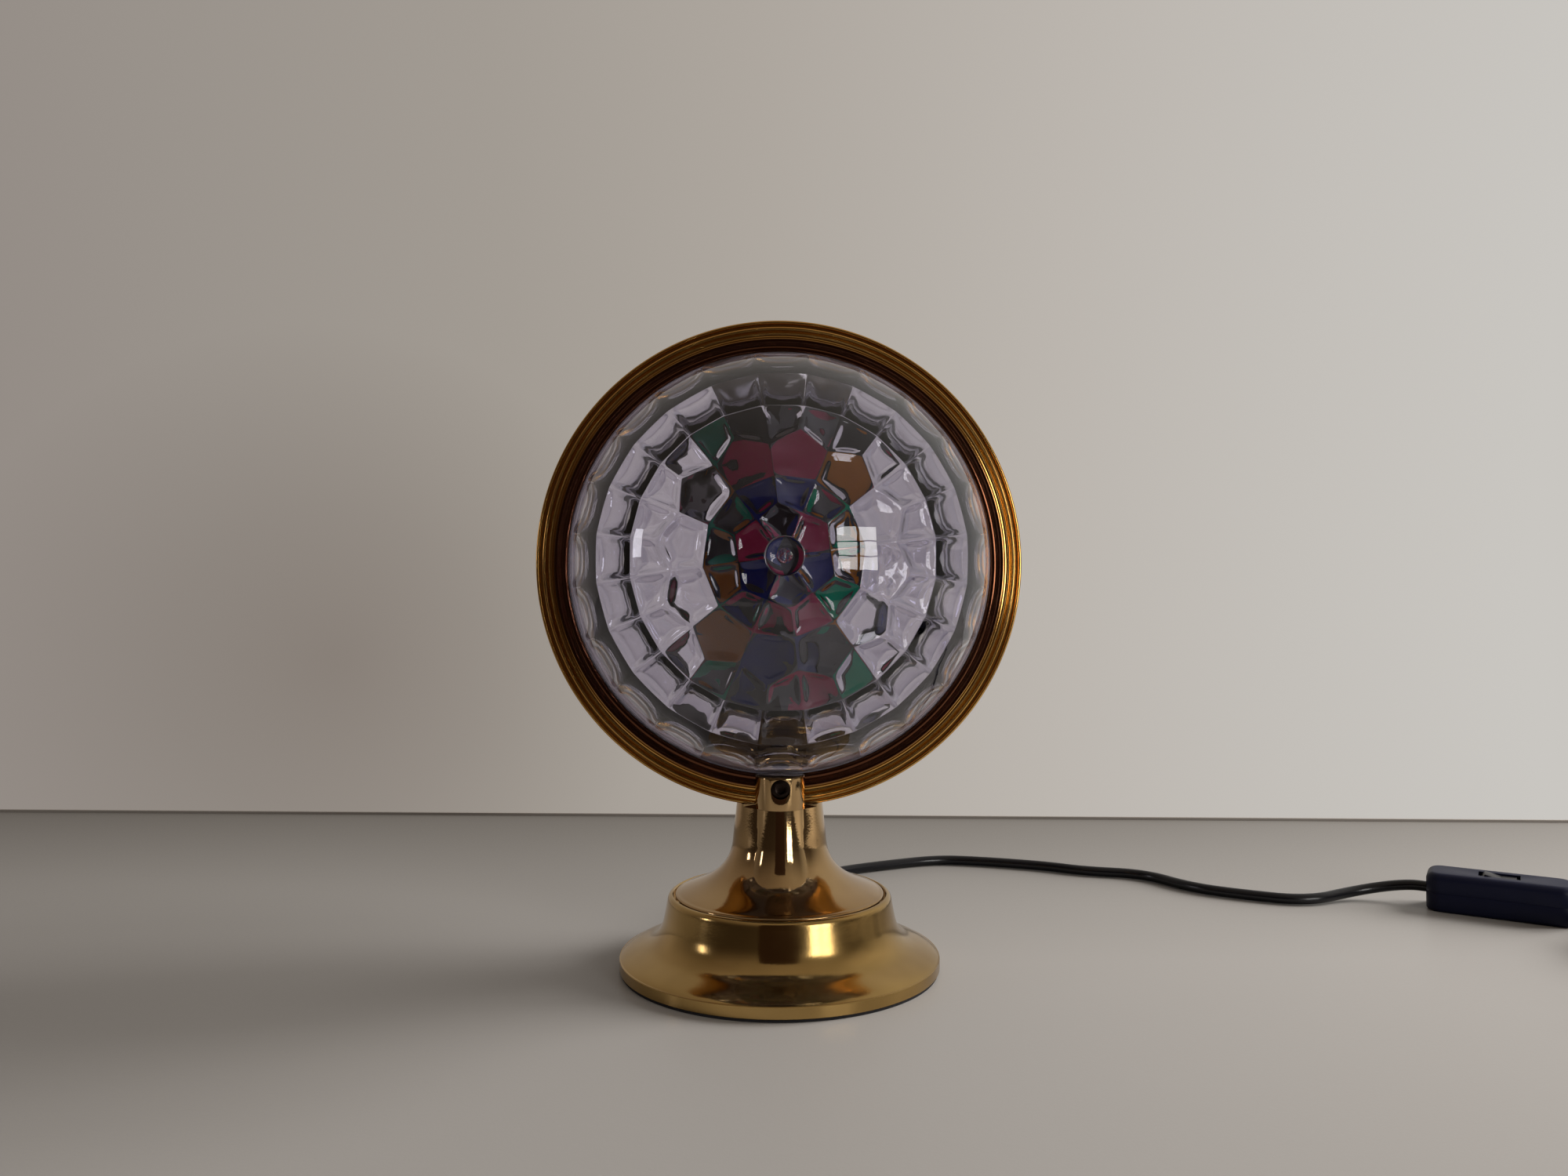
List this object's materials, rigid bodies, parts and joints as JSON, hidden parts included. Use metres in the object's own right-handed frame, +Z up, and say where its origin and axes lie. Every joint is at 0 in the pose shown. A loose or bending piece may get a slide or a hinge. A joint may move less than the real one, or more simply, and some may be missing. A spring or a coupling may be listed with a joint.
{
  "type": "mood light",
  "caption": "Table-top mood light: a faceted clear ball in a brass ring on a turning brass stem, with a colour drum inside and an inline cord switch",
  "frame": {"origin": "bottom centre of the felt pad, where the base's axis meets the table", "axes": "+X to the right as the front lens is seen; -Y out of the front lens, towards the viewer; +Z up, along the stem and the swivel's axis"},
  "size_m": [0.4908, 0.2554, 0.2447],
  "materials": {
    "brass_base": "polished, plated",
    "brass_stem": "polished, plated",
    "brass_ring": "darkened, polished",
    "weight_iron": "as cast",
    "zinc_steel": "zinc plated",
    "frame_steel": "matte dark grey",
    "motor_can": "satin",
    "felt": "pressed felt",
    "nylon": "natural",
    "cord_rubber": "smooth matte",
    "switch_navy": "smooth satin",
    "holder_black": "moulded",
    "drum_black": "matte",
    "clear_lens": "clear, faceted inside",
    "bulb_white": "opal",
    "film_red": "clear film",
    "film_green": "clear film",
    "film_blue": "clear film",
    "film_amber": "clear film"
  },
  "bodies": {
    "base": {"base_shell": "brass_base", "base_weight": "weight_iron", "cover_plate": "zinc_steel", "felt_pad": "felt", "deck_screws": "zinc_steel", "cover_screws": "zinc_steel", "cord_relief": "cord_rubber", "stop_pin": "zinc_steel", "swivel_washer": "nylon", "cord_lead": "cord_rubber", "cord_link": "cord_rubber", "cord_coil": "cord_rubber", "cord_tail": "cord_rubber", "coil_tie": "cord_rubber", "switch_lower": "switch_navy", "switch_upper": "switch_navy", "switch_screws": "zinc_steel", "plug_body": "switch_navy", "plug_pins": "zinc_steel"},
    "head": {"friction_washer": "nylon", "swivel_nut": "zinc_steel", "stem_nipple": "zinc_steel", "stem": "brass_stem", "front_cheek": "brass_stem", "rear_cheek": "brass_stem", "clamp_screw": "brass_stem", "front_bezel": "brass_ring", "rear_bezel": "brass_ring", "front_lens": "clear_lens", "rear_lens": "clear_lens", "inner_frame": "frame_steel", "motor": "motor_can", "lampholder": "holder_black", "bulb_cap": "motor_can", "bulb_glass": "bulb_white"},
    "drum": {"motor_shaft": "zinc_steel", "drum_cage": "drum_black", "red_film": "film_red", "green_film": "film_green", "blue_film": "film_blue", "amber_film": "film_amber"},
    "rocker": {"switch_rocker": "holder_black"}
  },
  "joints": [
    {"name": "stem_swivel", "type": "hinge", "parent": "base", "child": "head", "pos_m": [0, 0, 0.0246], "axis": [0, 0, 1], "range_deg": [-165, 165]},
    {"name": "drum_spin", "type": "hinge", "parent": "head", "child": "drum", "pos_m": [0, 0, 0.195], "axis": [0, 0, 1], "continuous": true},
    {"name": "switch_rocker", "type": "hinge", "parent": "base", "child": "rocker", "pos_m": [0.32021, 0.06134, 0.0122], "axis": [0.5592, 0.829, 0], "range_deg": [-14, 0]}
  ]
}
